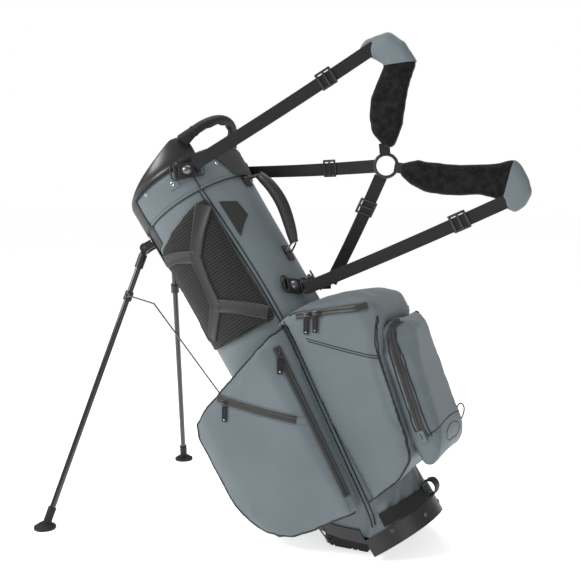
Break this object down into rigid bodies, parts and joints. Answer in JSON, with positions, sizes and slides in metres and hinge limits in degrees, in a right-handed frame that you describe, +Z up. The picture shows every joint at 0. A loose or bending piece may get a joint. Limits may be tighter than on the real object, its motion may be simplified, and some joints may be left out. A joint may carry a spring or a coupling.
{
  "type": "golf stand bag",
  "caption": "Golf stand bag leaning on folding legs and a hinged foot, with zipped pockets, top divider, lift handle and a two-pad shoulder harness held raised.",
  "frame": {"origin": "centre of the hinged foot's flat underside, on the ground", "axes": "+Z up, +X from the legs towards the pockets and harness, +Y away from the side that carries the trapezoid patch"},
  "size_m": [0.9304, 0.562, 0.9774],
  "materials": {
    "coated_fabric": "satin",
    "black_plastic": "satin",
    "black_rubber": "matte",
    "bare_rod": "satin",
    "dark_steel": "satin",
    "black_leg_paint": "gloss",
    "leatherette": "satin",
    "mesh_fabric": "matte",
    "webbing": "matte",
    "plush_fabric": "matte",
    "black_trim": "matte",
    "cord": "matte",
    "ring_plastic": "gloss",
    "zip_metal": "satin",
    "puller_rubber": "matte"
  },
  "bodies": {
    "bag": {"tube_shell": "coated_fabric", "top_cuff": "coated_fabric", "top_rim": "black_plastic", "lift_handle": "black_rubber", "club_divider": "black_plastic", "support_stays": "bare_rod", "base_cup": "black_plastic", "base_rivets": "dark_steel", "pivot_pins": "dark_steel", "grab_strap": "webbing", "leg_bracket": "black_plastic", "trim_screws": "dark_steel", "carry_handle": "leatherette", "side_pocket_near": "coated_fabric", "side_pocket_far": "coated_fabric", "cooler_pocket": "coated_fabric", "ball_pocket": "coated_fabric", "hip_pad_near": "mesh_fabric", "hip_pad_far": "mesh_fabric", "zip_tapes": "black_trim", "strap_hubs": "black_plastic", "emblem_patch": "black_trim", "cord_loop": "cord", "harness_ring": "ring_plastic", "shoulder_pad_upper": "plush_fabric", "shoulder_pad_lower": "plush_fabric", "strap_upper_near": "webbing", "strap_lower_near": "webbing", "strap_upper_far": "webbing", "strap_lower_far": "webbing", "strap_adjusters": "black_plastic", "cooler_stop_slider": "zip_metal"},
    "leg_near": {"leg_tube_near": "black_leg_paint", "leg_knuckle_near": "black_plastic", "leg_collar_near": "black_plastic", "leg_boot_near": "black_rubber"},
    "rod_near": {"push_rod_near": "dark_steel"},
    "leg_far": {"leg_tube_far": "black_leg_paint", "leg_knuckle_far": "black_plastic", "leg_collar_far": "black_plastic", "leg_boot_far": "black_rubber"},
    "rod_far": {"push_rod_far": "dark_steel"},
    "foot": {"foot_flap": "black_plastic", "foot_tread": "black_rubber"},
    "button_upper_near": {"hub_button_upper_near": "dark_steel"},
    "button_upper_far": {"hub_button_upper_far": "dark_steel"},
    "button_lower_near": {"hub_button_lower_near": "dark_steel"},
    "button_lower_far": {"hub_button_lower_far": "dark_steel"},
    "main_slider_near": {"main_slider_near": "zip_metal"},
    "main_puller_near": {"main_puller_near": "puller_rubber"},
    "main_slider_far": {"main_slider_far": "zip_metal"},
    "main_puller_far": {"main_puller_far": "puller_rubber"},
    "small_slider_near": {"small_slider_near": "zip_metal"},
    "small_puller_near": {"small_puller_near": "puller_rubber"},
    "small_slider_far": {"small_slider_far": "zip_metal"},
    "small_puller_far": {"small_puller_far": "puller_rubber"},
    "cooler_stop_puller": {"cooler_stop_puller": "puller_rubber"},
    "cooler_slider": {"cooler_slider": "zip_metal"},
    "cooler_puller": {"cooler_puller": "puller_rubber"}
  },
  "joints": [
    {"name": "leg_near_fold", "type": "hinge", "parent": "bag", "child": "leg_near", "pos_m": [-0.47575, -0.052, 0.56249], "axis": [0.3785, -0.8908, 0.2515], "range_deg": [0, 48.3]},
    {"name": "leg_far_fold", "type": "hinge", "parent": "bag", "child": "leg_far", "pos_m": [-0.47575, 0.052, 0.56249], "axis": [-0.3785, -0.8908, -0.2515], "range_deg": [0, 48.3]},
    {"name": "rod_near_turn", "type": "hinge", "parent": "leg_near", "child": "rod_near", "pos_m": [-0.49072, -0.09989, 0.46709], "axis": [-0.287, 0.8389, -0.4625], "range_deg": [0, 57.03]},
    {"name": "rod_far_turn", "type": "hinge", "parent": "leg_far", "child": "rod_far", "pos_m": [-0.49072, 0.09989, 0.46709], "axis": [0.287, 0.8389, 0.4625], "range_deg": [0, 57.03]},
    {"name": "foot_hinge", "type": "hinge", "parent": "bag", "child": "foot", "pos_m": [0.057, 0, 0.01], "axis": [0, -1, 0], "range_deg": [0, 33.61]},
    {"name": "button_upper_near_press", "type": "slide", "parent": "bag", "child": "button_upper_near", "axis": [-0.4536, 0.8387, -0.3014], "range_m": [0, 0.002], "stiffness_N_per_m": 900, "springref_m": -0.001},
    {"name": "button_upper_far_press", "type": "slide", "parent": "bag", "child": "button_upper_far", "axis": [-0.4536, -0.8387, -0.3014], "range_m": [0, 0.002], "stiffness_N_per_m": 900, "springref_m": -0.001},
    {"name": "button_lower_near_press", "type": "slide", "parent": "bag", "child": "button_lower_near", "axis": [-0.7723, 0.3746, -0.5131], "range_m": [0, 0.002], "stiffness_N_per_m": 900, "springref_m": -0.001},
    {"name": "button_lower_far_press", "type": "slide", "parent": "bag", "child": "button_lower_far", "axis": [-0.7723, -0.3746, -0.5131], "range_m": [0, 0.002], "stiffness_N_per_m": 900, "springref_m": -0.001},
    {"name": "main_slider_near_slide", "type": "slide", "parent": "bag", "child": "main_slider_near", "axis": [0.4916, -0.0485, -0.8694], "range_m": [0, 0.2691]},
    {"name": "main_puller_near_swing", "type": "hinge", "parent": "main_slider_near", "child": "main_puller_near", "pos_m": [-0.11678, -0.13214, 0.37482], "axis": [0.4667, -0.8283, 0.3101], "range_deg": [-45, 45]},
    {"name": "main_slider_far_slide", "type": "slide", "parent": "bag", "child": "main_slider_far", "axis": [0.4916, 0.0485, -0.8694], "range_m": [0, 0.2691]},
    {"name": "main_puller_far_swing", "type": "hinge", "parent": "main_slider_far", "child": "main_puller_far", "pos_m": [-0.11678, 0.13214, 0.37482], "axis": [0.4667, 0.8283, 0.3101], "range_deg": [-45, 45]},
    {"name": "small_slider_near_slide", "type": "slide", "parent": "bag", "child": "small_slider_near", "axis": [0.9882, 0.0335, -0.1495], "range_m": [0, 0.1354]},
    {"name": "small_puller_near_swing", "type": "hinge", "parent": "small_slider_near", "child": "small_puller_near", "pos_m": [-0.22082, -0.15561, 0.27797], "axis": [0.0376, -0.999, 0.025], "range_deg": [-45, 45]},
    {"name": "small_slider_far_slide", "type": "slide", "parent": "bag", "child": "small_slider_far", "axis": [0.9882, -0.0335, -0.1495], "range_m": [0, 0.1354]},
    {"name": "small_puller_far_swing", "type": "hinge", "parent": "small_slider_far", "child": "small_puller_far", "pos_m": [-0.22082, 0.15561, 0.27797], "axis": [0.0376, 0.999, 0.025], "range_deg": [-45, 45]},
    {"name": "cooler_stop_puller_swing", "type": "hinge", "parent": "bag", "child": "cooler_stop_puller", "pos_m": [-0.07321, -0.1015, 0.45086], "axis": [0, -1, 0], "range_deg": [-60, 8]},
    {"name": "cooler_slider_slide", "type": "slide", "parent": "bag", "child": "cooler_slider", "axis": [0.9723, 0, 0.2338], "range_m": [0, 0.063]},
    {"name": "cooler_puller_swing", "type": "hinge", "parent": "cooler_slider", "child": "cooler_puller", "pos_m": [-0.05473, -0.1015, 0.4553], "axis": [0, -1, 0], "range_deg": [-8, 60]}
  ],
  "couplings": [
    {"joint": "rod_near_turn", "follows": "leg_near_fold", "ratio": 1.1805},
    {"joint": "rod_far_turn", "follows": "leg_near_fold", "ratio": 1.1805},
    {"joint": "leg_far_fold", "follows": "leg_near_fold", "ratio": 1},
    {"joint": "foot_hinge", "follows": "leg_near_fold", "ratio": 0.69559}
  ]
}
